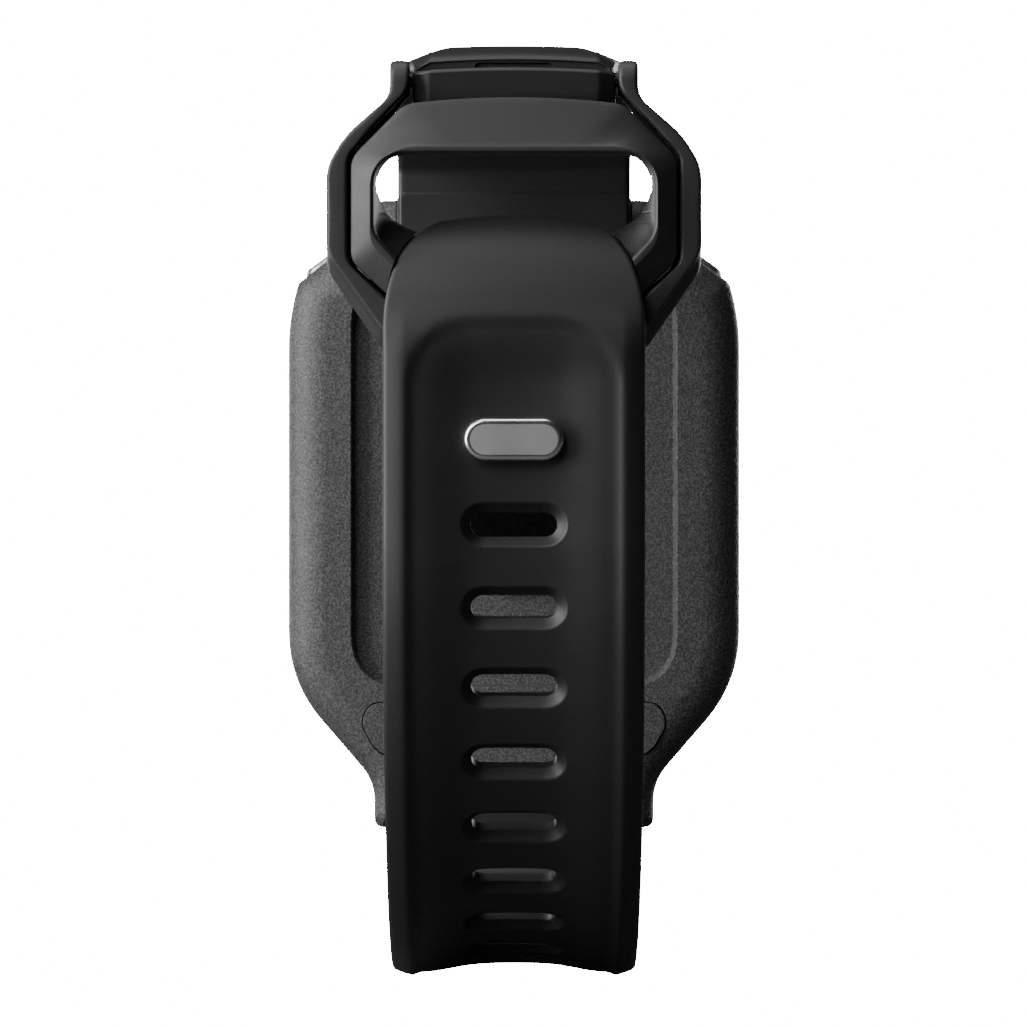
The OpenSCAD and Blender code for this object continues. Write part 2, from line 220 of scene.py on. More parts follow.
def pill(w, h, steps=16):
    """A pill-shaped outline: two half circles joined by straight sides."""
    a = np.radians(np.linspace(-90, 90, steps + 1))
    right = np.stack([(w - h) / 2 + h / 2 * np.cos(a), h / 2 * np.sin(a)], 1)
    return np.vstack([right, -right])


def carve(piece, cutters):
    """Cuts the cutters out of a piece and removes them. Flat faces keep their weight in its normals."""
    for cutter in cutters:
        cut = piece.modifiers.new("cut", "BOOLEAN")
        cut.operation, cut.solver, cut.object = "DIFFERENCE", "EXACT", cutter
    graph = bpy.context.evaluated_depsgraph_get()
    mesh = bpy.data.meshes.new_from_object(piece.evaluated_get(graph))
    piece.modifiers.clear()
    piece.data = mesh
    for cutter in cutters:
        bpy.data.objects.remove(cutter)
    mesh.shade_smooth()
    mesh.set_sharp_from_angle(angle=math.radians(28))
    weights = piece.modifiers.new("weights", "WEIGHTED_NORMAL")
    weights.keep_sharp = True
    return piece


def on_facet(piece, side):
    """Turns a piece made flat about the origin, its face towards -Y, onto a shoulder facet."""
    a = math.radians(FACET_A)
    co = np.zeros(len(piece.data.vertices) * 3)
    piece.data.vertices.foreach_get("co", co)
    x, y, z = co.reshape(-1, 3).T / MM
    out = np.array([math.sin(a), math.cos(a)])
    along = np.array([math.cos(a), -math.sin(a)])
    px = FACET_MID[0] + x * along[0] - y * out[0]
    pz = FACET_MID[1] + x * along[1] - y * out[1]
    placed = np.stack([px * side, BUTTON_Y + z, pz], 1) * MM
    piece.data.vertices.foreach_set("co", placed.ravel())
    if side > 0:
        piece.data.flip_normals()
    piece.data.update()
    return piece


# ---- materials ----
def node(tree, kind, at=(0, 0), **values):
    """Adds a shader node, with its properties set by name and its sockets by label."""
    made = tree.nodes.new(kind)
    made.location = at
    for key, value in values.items():
        if hasattr(made, key):
            setattr(made, key, value)
        else:
            made.inputs[key.replace("_", " ")].default_value = value
    return made


def socket(group, name, out=False, kind="NodeSocketFloat", value=0.0):
    """Adds a named socket to a group."""
    made = group.interface.new_socket(name=name, in_out="OUTPUT" if out else "INPUT", socket_type=kind)
    if not out:
        made.default_value = value
    return made


def moulded_grain_group():
    """Grain of a moulded or blasted surface: fine noise, and flecks where it is highest. Its Size is
    in millimetres."""
    group = bpy.data.node_groups.new("moulded_grain", "ShaderNodeTree")
    socket(group, "Size", value=0.3)
    socket(group, "Contrast", value=0.5)
    socket(group, "Height", out=True)
    socket(group, "Fleck", out=True)
    start = node(group, "NodeGroupInput")
    end = node(group, "NodeGroupOutput")
    place = node(group, "ShaderNodeTexCoord")
    rate = node(group, "ShaderNodeMath", operation="DIVIDE")
    rate.inputs[0].default_value = 1000.0
    noise = node(group, "ShaderNodeTexNoise", Detail=3.0, Roughness=0.62)
    spread = node(group, "ShaderNodeMapRange")
    low = node(group, "ShaderNodeMath", operation="MULTIPLY_ADD")
    high = node(group, "ShaderNodeMath", operation="MULTIPLY_ADD")
    low.inputs[1].default_value, low.inputs[2].default_value = 0.20, 0.27
    high.inputs[1].default_value, high.inputs[2].default_value = -0.20, 0.77
    link = group.links.new
    link(start.outputs["Size"], rate.inputs[1])
    link(place.outputs["Object"], noise.inputs["Vector"])
    link(rate.outputs[0], noise.inputs["Scale"])
    link(start.outputs["Contrast"], low.inputs[0])
    link(start.outputs["Contrast"], high.inputs[0])
    link(noise.outputs["Fac"], spread.inputs["Value"])
    link(low.outputs[0], spread.inputs["From Min"])
    link(high.outputs[0], spread.inputs["From Max"])
    link(noise.outputs["Fac"], end.inputs["Height"])
    link(spread.outputs[0], end.inputs["Fleck"])
    return group


def handling_group():
    """Slow uneven patches left by moulding and handling, a few millimetres across, from 0 to 1."""
    group = bpy.data.node_groups.new("handling", "ShaderNodeTree")
    socket(group, "Size", value=6.0)
    socket(group, "Patch", out=True)
    start = node(group, "NodeGroupInput")
    end = node(group, "NodeGroupOutput")
    place = node(group, "ShaderNodeTexCoord")
    rate = node(group, "ShaderNodeMath", operation="DIVIDE")
    rate.inputs[0].default_value = 1000.0
    noise = node(group, "ShaderNodeTexNoise", Detail=4.0, Roughness=0.55)
    spread = node(group, "ShaderNodeMapRange", From_Min=0.32, From_Max=0.68)
    link = group.links.new
    link(start.outputs["Size"], rate.inputs[1])
    link(place.outputs["Object"], noise.inputs["Vector"])
    link(rate.outputs[0], noise.inputs["Scale"])
    link(noise.outputs["Fac"], spread.inputs["Value"])
    link(spread.outputs[0], end.inputs["Patch"])
    return group


GRAIN = moulded_grain_group()
HANDLING = handling_group()


def surface(name, dark, light, rough, grain=0.3, contrast=0.5, bump=0.01, patch=6.0, **principled):
    """A material whose colour runs from dark to light with its flecks, and whose roughness runs over the
    pair rough with its patches. bump is the grain's height in millimetres."""
    material = bpy.data.materials.new(name)
    material.use_nodes = True
    tree = material.node_tree
    shader = tree.nodes["Principled BSDF"]
    for key, value in principled.items():
        shader.inputs[key.replace("_", " ")].default_value = value
    fleck = node(tree, "ShaderNodeGroup", (-700, 0), node_tree=GRAIN)
    fleck.inputs["Size"].default_value = grain
    fleck.inputs["Contrast"].default_value = contrast
    uneven = node(tree, "ShaderNodeGroup", (-700, -250), node_tree=HANDLING)
    uneven.inputs["Size"].default_value = patch
    colour = node(tree, "ShaderNodeMix", (-400, 100), data_type="RGBA")
    colour.inputs[6].default_value = (*dark, 1)
    colour.inputs[7].default_value = (*light, 1)
    gloss = node(tree, "ShaderNodeMapRange", (-400, -150), To_Min=rough[0], To_Max=rough[1])
    relief = node(tree, "ShaderNodeBump", (-400, -400), Strength=1.0, Distance=bump * MM)
    link = tree.links.new
    link(fleck.outputs["Fleck"], colour.inputs[0])
    link(colour.outputs[2], shader.inputs["Base Color"])
    link(uneven.outputs["Patch"], gloss.inputs["Value"])
    link(gloss.outputs[0], shader.inputs["Roughness"])
    link(fleck.outputs["Height"], relief.inputs["Height"])
    link(relief.outputs["Normal"], shader.inputs["Normal"])
    return material


def grey(v, tint=0.0):
    """A near-neutral colour, slightly blue for a positive tint."""
    return (v * (1 - tint), v, v * (1 + tint))


CASE = surface("case_grain", grey(0.020), grey(0.088), (0.46, 0.56), grain=0.17, contrast=0.75,
               bump=0.06)
STRAP = surface("strap_elastomer", grey(0.0114), grey(0.0146), (0.46, 0.54), grain=0.12, bump=0.002,
                patch=9.0, Specular_IOR_Level=0.42)
CLASP = surface("clasp_moulding", grey(0.0165), grey(0.0215), (0.50, 0.58), grain=0.1, bump=0.0015,
                patch=7.0)
BEZEL = surface("bezel_satin", grey(0.010), grey(0.016), (0.30, 0.38), grain=0.12, bump=0.002)
STUD_FACE = surface("stud_satin", grey(0.56), grey(0.62), (0.44, 0.50), grain=0.08, bump=0.0008,
                    Metallic=1.0)
STUD_RIM = surface("stud_polished", grey(0.80), grey(0.84), (0.22, 0.28), grain=0.2, bump=0.0004,
                   Metallic=1.0)
BUTTON = surface("button_blasted", grey(0.34), grey(0.56), (0.34, 0.44), grain=0.14, bump=0.006,
                 Metallic=1.0)
GLASS = surface("cover_glass", grey(0.0025, 0.1), grey(0.004, 0.1), (0.03, 0.06), grain=0.5,
                bump=0.0001,
                Coat_Weight=0.6, Coat_Roughness=0.02)
SENSOR = surface("sensor_gloss", grey(0.002), grey(0.004), (0.05, 0.09), grain=0.4, bump=0.0002)
GOLD = surface("contact_gold", (0.62, 0.42, 0.16), (0.78, 0.56, 0.25), (0.2, 0.3), grain=0.1,
               bump=0.001,
               Metallic=1.0)
STEEL = surface("plain_steel", grey(0.42, 0.01), grey(0.55, 0.01), (0.26, 0.36), grain=0.12, bump=0.002,
                Metallic=1.0)
PIN = surface("blackened_steel", grey(0.02), grey(0.035), (0.35, 0.45), grain=0.1, bump=0.001,
              Metallic=0.8)
SEAL = surface("seal_rubber", grey(0.012), grey(0.02), (0.6, 0.7), grain=0.15, bump=0.003)
CHASSIS = surface("filled_plastic", grey(0.03), grey(0.07), (0.5, 0.6), grain=0.25, bump=0.006)
BOARD = surface("solder_mask", (0.006, 0.05, 0.025), (0.01, 0.08, 0.04), (0.28, 0.4), grain=0.6,
                bump=0.01)
BATTERY = surface("pouch_foil", grey(0.25, 0.02), grey(0.34, 0.02), (0.3, 0.45), grain=0.9, bump=0.03,
                  Metallic=0.9)
SWITCH = surface("switch_plastic", grey(0.4), grey(0.5), (0.35, 0.45), grain=0.2, bump=0.003)
PANEL = surface("display_module", grey(0.008, 0.1), grey(0.012, 0.1), (0.15, 0.25), grain=0.3,
                bump=0.001)


# ---- camera, light and floor ----
def stage():
    """A level camera on the clasp side, a low key from the left with a higher one beside it, weak lamps
    above, at the right and behind, and a floor and a surround that only the camera sees as bright."""
    lens = bpy.data.cameras.new("camera")
    lens.sensor_width, lens.lens, lens.clip_start = 36.0, 165.0, 0.01
    camera = bpy.data.objects.new("camera", lens)
    camera.location = (0, -0.402, 0)
    camera.rotation_euler = (math.radians(90), 0, 0)
    bpy.context.scene.collection.objects.link(camera)
    bpy.context.scene.camera = camera

    def lamp(name, place, aim, size, power, tall=None):
        """A soft rectangular lamp at place that points at aim, in metres."""
        data = bpy.data.lights.new(name, "AREA")
        data.shape, data.size, data.size_y, data.energy = "RECTANGLE", size, tall or size, power
        made = bpy.data.objects.new(name, data)
        direction = np.array(aim, float) - np.array(place, float)
        made.location = place
        made.rotation_euler = Vector(direction).to_track_quat("-Z", "Y").to_euler()
        bpy.context.scene.collection.objects.link(made)

    lamp("key", (-0.24, -0.095, 0.06), (0, 0, 0), 0.12, 1.8, tall=0.30)
    lamp("high_front", (-0.24, -0.43, 0.36), (0, 0, 0), 0.26, 1.6)
    lamp("top", (-0.03, -0.05, 0.42), (0, -0.02, 0), 0.22, 0.8)
    lamp("right_low", (0.30, 0.02, -0.10), (0, 0, 0), 0.15, 0.25)
    lamp("back_high", (0.22, 0.45, 0.02), (0, 0, 0), 0.30, 2.2)
    lamp("back_low", (-0.30, 0.40, -0.02), (0, 0, 0), 0.20, 0.9)

    world = bpy.data.worlds.new("surround")
    bpy.context.scene.world = world
    world.use_nodes = True
    tree = world.node_tree
    tree.nodes.clear()
    seen = node(tree, "ShaderNodeBackground", Color=(1, 1, 1, 1), Strength=WHITE)
    lit = node(tree, "ShaderNodeBackground", Color=(1, 1, 1, 1), Strength=0.012)
    path = node(tree, "ShaderNodeLightPath")
    mix = node(tree, "ShaderNodeMixShader")
    end = node(tree, "ShaderNodeOutputWorld")
    tree.links.new(path.outputs["Is Camera Ray"], mix.inputs[0])
    tree.links.new(lit.outputs[0], mix.inputs[1])
    tree.links.new(seen.outputs[0], mix.inputs[2])
    tree.links.new(mix.outputs[0], end.inputs[0])

    paper = bpy.data.materials.new("pale_floor")
    paper.use_nodes = True
    tree = paper.node_tree
    shader = tree.nodes["Principled BSDF"]
    shader.inputs["Base Color"].default_value = (0.07, 0.07, 0.07, 1)
    shader.inputs["Roughness"].default_value = 0.9
    glow = node(tree, "ShaderNodeEmission", Color=(1, 1, 1, 1), Strength=WHITE)
    path = node(tree, "ShaderNodeLightPath")
    mix = node(tree, "ShaderNodeMixShader")
    tree.links.new(path.outputs["Is Camera Ray"], mix.inputs[0])
    tree.links.new(shader.outputs[0], mix.inputs[1])
    tree.links.new(glow.outputs[0], mix.inputs[2])
    tree.links.new(mix.outputs[0], tree.nodes["Material Output"].inputs[0])
    mesh = bpy.data.meshes.new("floor")
    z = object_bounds()[0][2] - 0.0006
    mesh.from_pydata([(-2, -2, z), (2, -2, z), (2, 2, z), (-2, 2, z)], [], [(0, 1, 2, 3)])
    mesh.materials.append(paper)
    floor = bpy.data.objects.new("floor", mesh)
    bpy.context.scene.collection.objects.link(floor)
    floor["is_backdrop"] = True


stage()


# ---- case ----
def case_outline():
    """Outline of the case from behind: narrow lugs, curved flanks and a flat facet on each shoulder."""
    return rounded(both_sides([
        (12.7, -28.5, 0.9), (12.7, -24.3, 1.8), (20.5, -15.25, 4.6), (20.5, 17.6, 2.6),
        (19.6, 21.0, 0.2), (13.76, 25.2, 0.5), (12.35, 28.5, 0.7)]))


def frame_rect(half, z0, z1, r):
    """A rounded rectangle, half wide to each side, between heights z0 and z1."""
    return rounded(both_sides([(half, z0, r), (half, z1, r)]))


def adapter_outline(e=0.0, upper=False):
    """The T-shaped outline of a strap adapter, its wings rounded, made larger by e."""
    right = [(10.6 + e, -28.55, 0.1), (10.6 + e, -22.0 - e, 0.5), (12.3 + e, -21.7 - e, 1.2),
             (13.9 + e, -18.9, 1.0), (13.0 + e, -17.1 + e, 0.9)]
    if upper:
        right = [(x, -z, r) for x, z, r in reversed(right)]
    return rounded(both_sides(right))


def recess_cutter():
    """The recess in the back, its wall rolling over at the top and running out at the bottom. It is
    0.5 mm deeper than the frame's, so that its wall casts a shadow."""
    dish = even(frame_rect(14.75, -15.7, 22, 5), 240)
    wall = [(-0.5, -1.0), (-0.2, -0.02), (-0.1, 0.0), (0.0, 0.03), (0.06, 0.10), (0.10, 0.25),
            (0.16, 0.7),
            (0.20, 1.1), (0.28, 1.26), (0.42, 1.3)]
    return loft("recess", [at_y(inset(dish, i), BACK_Y + d) for i, d in wall])


def case_back_piece():
    """The grained back shell. Its edge towards the wrist is rounded, and its recess, adapter pockets,
    sensor hole, contact holes, button pockets and cavity are cut from it."""
    line = even(case_outline(), 360)
    turns = np.radians(np.linspace(0, 90, 15))
    edge = [(3.6 * (1 - math.sin(a)), 2.4 * (1 - math.cos(a))) for a in turns]
    rings = [at_y(inset(line, i), BACK_Y + d) for i, d in edge]
    rings += [at_y(line, SPLIT_Y - 0.12), at_y(inset(line, 0.12), SPLIT_Y)]
    piece = loft("case_back_shell", rings, CASE, sharp=30)
    ring = even(pill(13.9, 13.9), 96)
    cutters = [recess_cutter(), loft("sensor", [at_y(ring, BACK_Y - 1), at_y(ring, BACK_Y + 3)])]
    cavity = even(frame_rect(18.2, -14.8, 16.4, 2), 200)
    cutters.append(loft("cavity", [at_y(cavity, BACK_Y + 2), at_y(cavity, SPLIT_Y + 1)]))
    for upper in (False, True):
        t = even(adapter_outline(0.1, upper), 300)
        cutters.append(loft("pocket", [at_y(t, BACK_Y - 1), at_y(t, 29.7)]))
    for x in (-3, 3):
        dot = even(pill(1.9, 1.9) + (x, 11.5), 48)
        cutters.append(loft("contact", [at_y(dot, BACK_Y - 1), at_y(dot, BACK_Y + 3)]))
    for side in (-1, 1):
        slot = even(pill(5.4, 3.0), 96)
        cutters.append(on_facet(loft("button_pocket", [at_y(slot, -3), at_y(slot, 1.5)]), side))
    return carve(piece, cutters)


def front_bezel_piece():
    """The front frame: a plate with a rounded front edge and a rounded opening for the glass."""
    line = even(case_outline(), 360)
    rings = [at_y(inset(line, 0.12), SPLIT_Y), at_y(line, SPLIT_Y + 0.12)]
    rings += [at_y(inset(line, i), FRONT_Y - d) for i, d in reversed(fillet(1.1, 8))]
    piece = loft("front_bezel_ring", rings + [at_y(inset(line, 1.3), FRONT_Y)], BEZEL)
    opening = even(frame_rect(17.3, -19.3, 20.3, 4), 240)
    hole = loft("opening", [at_y(opening, 34.2), at_y(opening, FRONT_Y), at_y(opening, 38)])
    inner = even(frame_rect(16, -18, 19, 3), 200)
    return carve(piece, [hole, loft("inner", [at_y(inner, 33), at_y(inner, 35)])])


def side_button(side):
    """A pill-shaped push button with a bevelled edge, on a shoulder facet."""
    cap = even(pill(5.2, 2.8), 120)
    rings = [at_y(inset(cap, 0.62), -0.75)] + [at_y(inset(cap, 0.45 * (1 - t)), -0.75 + 0.4 * t * t)
                                              for t in np.linspace(0, 1, 6)]
    rings += [at_y(cap, -0.3), at_y(cap, 0.9)]
    name = "left_button_cap" if side < 0 else "right_button_cap"
    return on_facet(loft(name, rings, BUTTON), side)


def show(piece, body, slot, *nodes):
    """Puts a finished piece on its body, in place of the CAD nodes that it stands for."""
    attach(piece, body)
    if nodes:
        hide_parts(*nodes)


show(case_back_piece(), WATCH, "case_shell", "case_back")
show(front_bezel_piece(), WATCH, "bezel", "front_bezel")
show(side_button(-1), "left_button", "button_metal", "left_button")
show(side_button(1), "right_button", "button_metal", "right_button")
glass = plate("cover_glass", frame_rect(17.2, -19.2, 20.2, 4), 34.4, 36.5, 0.05, 0.45, GLASS)
show(glass, WATCH, "display_glass", "display_glass")
for upper in (False, True):
    label = "upper" if upper else "lower"
    block = plate(label + "_adapter_block", adapter_outline(0, upper), BACK_Y, 29.6, 0.07, 0.05, CASE,
                  count=400)
    latch_z = LATCH_Z if upper else -LATCH_Z
    slot = even(pill(7.16, 2.76) + (0, latch_z), 120)
    cutters = [loft("latch_slot", [at_y(slot, BACK_Y - 1), at_y(slot, 27.7)])]
    if upper:
        cutters.append(recess_cutter())
    show(carve(block, cutters), WATCH, "case_shell", label + "_adapter")
    tab = plate(label + "_latch_tab", pill(7, 2.6) + (0, latch_z),
                BACK_Y + (RECESS_TAB if upper else 0.0), 27.0,
                0.12, 0.05, CASE, count=120)
    show(tab, label + "_latch", "case_shell", label + "_latch")


# ---- straps ----
def arc(centre, r, a0, a1, count):
    """Points round an arc in Y and Z, from angle a0 to a1 in degrees."""
    a = np.radians(np.linspace(a0, a1, count))
    return np.stack([centre[0] + r * np.cos(a), centre[1] + r * np.sin(a)], 1)


def lower_route():
    """The lower strap's outer face from the tail's tip to its adapter, as points in Y and Z."""
    lug_c = (LOOP_C[0], LOOP_C[1] - LOOP_R + LOWER_LUG_R)
    parts = [arc(TAIL_C, TAIL_R, TAIL_A, 180, 200), arc(LOOP_C, LOOP_R, 180, 270, 600),
             arc(lug_c, LOWER_LUG_R, 270, 270 + LUG_A, 300)]
    end = parts[-1][-1] + TUCK * np.array([math.cos(math.radians(LUG_A)),
                                           math.sin(math.radians(LUG_A))])
    return np.vstack(parts + [end[None]])


def upper_route():
    """The upper strap's outer face from the neck to its adapter, as points in Y and Z."""
    lug_c = (12.0, TOP_Z - LUG_R)
    parts = [arc(NECK_C, NECK_R, 90 + NECK_SLOPE, 90, 200), arc(lug_c, LUG_R, 90, 90 - LUG_A, 300)]
    a = math.radians(-LUG_A)
    end = parts[-1][-1] + TUCK * np.array([math.cos(a), math.sin(a)])
    return np.vstack(parts + [end[None]])


class Route:
    """A smooth line in Y and Z by its length, with the direction into the loop from it."""

    def __init__(self, points, inwards):
        steps = np.linalg.norm(np.diff(points, axis=0), axis=1)
        keep = np.concatenate([[True], steps > 1e-6])
        self.points = points[keep]
        steps = np.linalg.norm(np.diff(self.points, axis=0), axis=1)
        self.at = np.concatenate([[0], np.cumsum(steps)])
        self.length = self.at[-1]
        along = np.gradient(self.points, self.at, axis=0)
        along /= np.linalg.norm(along, axis=1, keepdims=True)
        self.normal = np.stack([-along[:, 1], along[:, 0]], 1) * inwards

    def place(self, s, x, depth):
        """Points at length s and width x, at a depth below the outer face."""
        p = [np.interp(s, self.at, self.points[:, k]) for k in (0, 1)]
        n = [np.interp(s, self.at, self.normal[:, k]) for k in (0, 1)]
        size = np.hypot(n[0], n[1])
        return np.stack([x, p[0] + n[0] / size * depth, p[1] + n[1] / size * depth], -1)


def smooth(t):
    """0 below 0, 1 above 1, and an S-shaped rise between them."""
    t = np.clip(t, 0, 1)
    return t * t * (3 - 2 * t)


def strap(name, route, half_width, holes, hole_w, hole_h, flare, outer, inner, end_rise, material):
    """A strap as two sheets joined by its edge and by the walls of its holes.

    The flat pattern has rows along the strap and columns across it. Round each hole the columns in the
    middle are replaced by rings that turn from the hole's pill outline to the cell's rectangle. The
    pattern is then laid on the route, with the depth of each face given by the functions outer and inner."""
    pitch = 6.4
    cell_rows, cell_cols = 16, 20
    lines = [0.0, 0.04, 0.1, 0.2, 0.35, 0.55, 0.8, 1.1]
    starts = []
    s = 0.0
    for hole in sorted(holes) + [route.length + pitch]:
        a, b = s, hole - pitch / 2
        if b > a + 1e-6:
            stop = min(b, route.length)
            count = max(2, int((stop - a) / 0.42))
            rows = np.linspace(a, stop, count + 1)
            if a == 0.0:
                rows = np.concatenate([lines, rows[rows > lines[-1] + 0.2]])
            starts.append(("plain", rows, None))
        if hole < route.length:
            starts.append(("hole", np.linspace(b, b + pitch, cell_rows + 1), hole))
            s = b + pitch
    edge = np.array([0.0, 0.03, 0.08, 0.16, 0.28, 0.45, 0.7, 1.0, 1.3, 1.6, 1.8, 2.0, 2.3, 2.7, 3.2])
    pattern, quads, rims = [], [], []
    count = 0

    def add(points, faces):
        """Adds a patch of the flat pattern."""
        nonlocal count
        pattern.append(points)
        quads.extend((np.asarray(faces) + count).tolist())
        count += len(points)

    for kind, rows, hole in starts:
        w = half_width(rows)
        core = np.minimum(6.4, w - edge[-1] * np.minimum(1, w / 8))
        left = (w[:, None] - edge[None, :] * np.minimum(1, w / 8)[:, None])
        gap = core[:, None] + (left[:, -1:] - core[:, None]) * np.linspace(1, 0, 5)[None, 1:]
        side = np.concatenate([left, gap], 1)
        lift = end_rise(rows[:, None], side)
        for sign in (-1, 1):
            add(np.stack([rows[:, None] + lift, sign * side], -1).reshape(-1, 2),
                grid_faces(len(rows), side.shape[1]))
        across = np.linspace(-1, 1, cell_cols + 1)
        if kind == "plain":
            x = core[:, None] * across[None, :]
            add(np.stack([rows[:, None] + end_rise(rows[:, None], x), x], -1).reshape(-1, 2),
                grid_faces(len(rows), cell_cols + 1))
            continue
        c = core[0]
        box = np.concatenate([
            np.stack([np.full(cell_cols, rows[0]), c * across[:-1]], 1),
            np.stack([rows[:-1], np.full(cell_rows, c)], 1),
            np.stack([np.full(cell_cols, rows[-1]), c * across[:0:-1]], 1),
            np.stack([rows[:0:-1], np.full(cell_rows, -c)], 1)])
        along = np.linspace(0, 1, len(box), endpoint=False)
        reach = np.arctan2((box[:, 0] - hole) / pitch * 2, box[:, 1] / c)
        outline = even(pill(hole_w, hole_h, 24), 720)
        turn = np.unwrap(np.arctan2(outline[:, 1] * 1.9, outline[:, 0]))
        want = np.unwrap(reach)
        want = want + 2 * math.pi * np.round((turn.mean() - want.mean()) / (2 * math.pi))
        mouth = np.stack([np.interp(want, turn, outline[:, 1], period=2 * math.pi) + hole,
                          np.interp(want, turn, outline[:, 0], period=2 * math.pi)], 1)
        out = mouth - np.array([hole, 0])
        flat = (hole_w - hole_h) / 2
        normal = out - np.stack([np.zeros(len(out)), np.clip(out[:, 1], -flat, flat)], 1)
        normal /= np.linalg.norm(normal, axis=1, keepdims=True)
        rings = [mouth + normal * d for d in (0.0, 0.06, 0.14, 0.26, 0.40, 0.54, 0.68, 0.80, 0.92)]
        far = rings[-1]
        rings += [far + (box - far) * t for t in (0.2, 0.45, 0.72, 1.0)]
        faces = ring_faces(len(rings), len(box))
        rims.append(np.arange(len(box)) + count)
        add(np.concatenate(rings), faces)

    flat = np.concatenate(pattern)
    s_all, x_all = flat[:, 0], flat[:, 1]
    top, under = outer(s_all, x_all), inner(s_all, x_all)
    for hole in holes:
        ds = s_all - hole
        dx = np.maximum(np.abs(x_all) - (hole_w - hole_h) / 2, 0)
        away = np.hypot(ds, dx) - hole_h / 2
        rim = np.clip(1 - away / flare, 0, 1)
        near = np.abs(ds) < pitch / 2
        top = np.where(near, top + 0.7 * rim**0.85, top)
        under = np.where(near, under - 0.12 * smooth(np.clip(1 - away / 0.2, 0, 1)), under)
    points = np.concatenate([route.place(s_all, x_all, top), route.place(s_all, x_all, under)])
    faces = list(quads) + [[i + count for i in reversed(q)] for q in quads]
    for rim in rims:
        nxt = np.roll(rim, -1)
        faces += np.stack([rim, rim + count, nxt + count, nxt], 1).tolist()
    return strap_close(name, points, faces, material)


def strap_close(name, points, faces, material):
    """Joins the two sheets of a strap along every open edge with a wall."""
    mesh = bpy.data.meshes.new(name)
    mesh.from_pydata((points * MM).tolist(), [], faces)
    work = bmesh.new()
    work.from_mesh(mesh)
    bmesh.ops.remove_doubles(work, verts=work.verts, dist=0.004 * MM)
    open_edges = [e for e in work.edges if e.is_boundary]
    bmesh.ops.bridge_loops(work, edges=open_edges)
    bmesh.ops.recalc_face_normals(work, faces=work.faces)
    work.to_mesh(mesh)
    work.free()
    mesh.materials.append(material)
    mesh.shade_smooth()
    mesh.set_sharp_from_angle(angle=math.radians(50))
    piece = bpy.data.objects.new(name, mesh)
    bpy.context.scene.collection.objects.link(piece)
    return piece


def root_depth(s, lug_r):
    """How much the last stretch of a strap is thickened, so that its wrist side comes down flush with the
    pad on the adapter's back. s is the length past the route's end, and is negative."""
    a = math.radians(90 - LUG_A) - (s + TUCK) / lug_r
    inner = lug_r - STRAP_T
    start = math.acos(11.65 / inner)
    full = inner - 11.65 / np.cos(np.clip(a, math.radians(90 - LUG_A), start))
    rise = s + 1.6 + TUCK + lug_r * (start - math.radians(90 - LUG_A))
    return np.clip(full, 0, 3) * smooth(rise)


LOWER = Route(lower_route(), 1)
UPPER = Route(upper_route(), -1)


def lower_length(z):
    """Length along the lower strap of a height z on its straight near stretch."""
    return math.radians(180 - TAIL_A) * TAIL_R + (TAIL_C[1] - z)


def tail_half_at(z):
    """Half width of the tail at a height: a superellipse that closes towards the tip."""
    t = np.clip((z - 14.0) / 10.8, 0, 0.93)
    return STRAP_HALF * (1 - t**2.4) ** (1 / 3.2)


def tail_half(s):
    """Half width of the lower strap at length s."""
    angle = np.clip(math.radians(180 - TAIL_A) - s / TAIL_R, 0, 1)
    return tail_half_at(TAIL_C[1] + TAIL_R * np.sin(angle))


def lower_outer(s, x):
    """Depth of the lower strap's outer face: crowned at its tail, bevelled along its sides, and scooped
    out into a channel that has a rounded top end and deepens slowly from it."""
    w = tail_half(s)
    d = np.minimum(w - np.abs(x), s + 0.25)
    side = smooth((s - lower_length(17.5)) / 5.0)
    bevel = side * 0.55 * np.clip(1 - d / 1.7, 0, 1) ** 1.3 + 0.16 * np.clip(1 - d / 0.26, 0, 1) ** 2
    crown = (1 - side) * 0.30 * (np.abs(x) / w) ** 2.2
    below = s - lower_length(15.8)
    cx = np.maximum(np.abs(x) - (8.9 - 5.6), 0)
    cs = np.maximum(5.6 - below, 0)
    inside = np.where((cx > 0) & (cs > 0), 5.6 - np.hypot(cx, cs), np.minimum(8.9 - np.abs(x), below))
    inside = np.clip(inside, 0, None)
    dish = 1 - np.clip(np.abs(x) / 8.9, 0, 1) ** 2
    scoop = 0.26 * smooth(inside / 0.9) + 0.80 * dish * smooth(inside / 5.5)
    return bevel + crown + scoop - 0.35 * side


def lower_inner(s, x):
    """Depth of the lower strap's face towards the wrist, rounded along its edge."""
    d = np.minimum(tail_half(s) - np.abs(x), s + 0.25)
    thin = 0.5 * np.clip(1 - s / 6.0, 0, 1)
    root = root_depth(s - LOWER.length, LOWER_LUG_R)
    return STRAP_T - 0.35 * np.clip(1 - d / 0.45, 0, 1) ** 2 - thin + root


def tail_crown(s, x):
    """How far the tip's end edge bulges at its middle: the rows near it are shifted along the strap."""
    w = tail_half(s)
    return 0.42 * (x / w) ** 2 * np.clip(1 - s / 3.0, 0, 1)


# The free holes only. The stud's own hole isn't cut, and the stud passes through solid strap there.
holes = [lower_length(STUD_Z) + k * HOLE_PITCH for k in range(1, HOLE_COUNT)]
lower = strap("lower_strap_band", LOWER, tail_half, holes, 6.95, 1.95, 0.78, lower_outer, lower_inner,
              tail_crown, STRAP)
show(lower, WATCH, "strap_rubber", "lower_strap")


def upper_half(s):
    """Half width of the upper strap: narrow at the neck, full past the top of the loop."""
    return 8.0 + (STRAP_HALF - 8.0) * smooth((s - 4.0) / 18.0)


